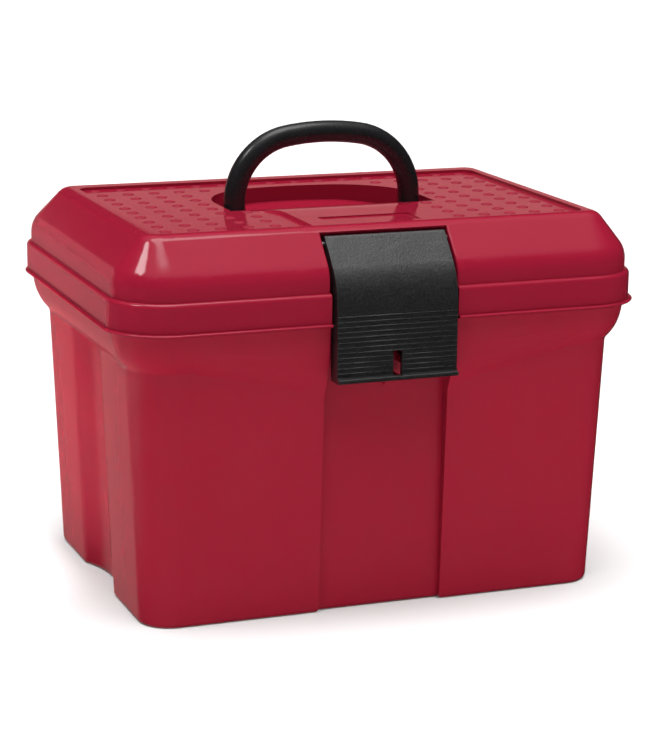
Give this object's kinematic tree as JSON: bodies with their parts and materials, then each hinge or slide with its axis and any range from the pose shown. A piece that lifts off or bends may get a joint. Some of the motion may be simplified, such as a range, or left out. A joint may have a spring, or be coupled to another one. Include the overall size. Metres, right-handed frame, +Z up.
{
  "type": "art supply box",
  "caption": "Moulded plastic carry box with a hinged domed lid, fold-down bail handle, front latch flap, and a divided tray that lifts out of the tub.",
  "frame": {"origin": "middle of the flat base, on the surface that the box stands on", "axes": "+X to the right along the box's length, +Y to the hinges at the back, +Z up"},
  "size_m": [0.4, 0.3157, 0.3365],
  "materials": {
    "tub_plastic": "satin",
    "lid_plastic": "gloss",
    "handle_plastic": "satin",
    "latch_plastic": "grained",
    "pin_steel": "drawn",
    "tray_plastic": "satin",
    "divider_plastic": "satin"
  },
  "bodies": {
    "tub": {"tub_shell": "tub_plastic", "hinge_pin_left": "pin_steel", "hinge_pin_right": "pin_steel"},
    "lid": {"lid_shell": "lid_plastic", "latch_hinge_pin": "pin_steel"},
    "handle": {"handle_bail": "handle_plastic"},
    "latch": {"latch_flap": "latch_plastic"},
    "tray": {"lift_out_tray": "tray_plastic", "tray_divider_left": "divider_plastic", "tray_divider_right": "divider_plastic"}
  },
  "joints": [
    {"name": "lid_hinge", "type": "hinge", "parent": "tub", "child": "lid", "pos_m": [0, 0.156, 0.2101], "axis": [-1, 0, 0], "range_deg": [0, 105]},
    {"name": "handle_fold", "type": "hinge", "parent": "lid", "child": "handle", "pos_m": [0, 0, 0.2661], "axis": [-1, 0, 0], "range_deg": [0, 84]},
    {"name": "latch_turn", "type": "hinge", "parent": "lid", "child": "latch", "pos_m": [0, -0.12115, 0.26721], "axis": [-1, 0, 0], "range_deg": [0, 100]},
    {"name": "tray_lift", "type": "slide", "parent": "tub", "child": "tray", "axis": [0, 0, 1], "range_m": [0, 0.055]}
  ]
}
